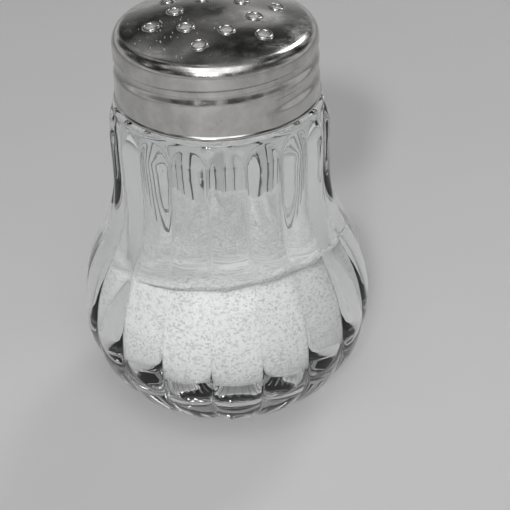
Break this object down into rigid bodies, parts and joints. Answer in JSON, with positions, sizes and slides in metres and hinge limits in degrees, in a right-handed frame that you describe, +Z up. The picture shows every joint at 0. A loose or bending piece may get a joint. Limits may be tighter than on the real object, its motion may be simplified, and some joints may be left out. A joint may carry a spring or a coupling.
{
  "type": "salt shaker",
  "caption": "Fluted glass table salt shaker with a bulb-shaped body, a round neck, a screw-on pressed metal cap with a domed, pierced top, and salt inside.",
  "frame": {"origin": "middle of the base, on the surface that the shaker stands on", "axes": "+Z up along the jar's axis, towards the pierced dome; -Y towards the side that the picture shows, on a valley between two flutes"},
  "size_m": [0.0634, 0.0628, 0.0872],
  "materials": {
    "clear_glass": "clear pressed soda-lime glass, fire polished",
    "plated_cap": "thin pressed steel sheet, bright plated",
    "seal_plastic": "soft white plastic liner",
    "table_salt": "loose white grains of salt"
  },
  "bodies": {
    "jar": {"glass_jar": "clear_glass", "salt_fill": "table_salt"},
    "seal": {"cap_seal_ring": "seal_plastic"},
    "cap": {"screw_cap": "plated_cap"}
  },
  "joints": [
    {"name": "cap_lift", "type": "slide", "parent": "jar", "child": "seal", "axis": [0, 0, 1], "range_m": [0, 0.0137]},
    {"name": "cap_turn", "type": "hinge", "parent": "seal", "child": "cap", "pos_m": [0, 0, 0], "axis": [0, 0, 1], "range_deg": [0, 1170]}
  ],
  "couplings": [
    {"joint": "cap_lift", "follows": "cap_turn", "m_per_rad": 0.00066845}
  ]
}
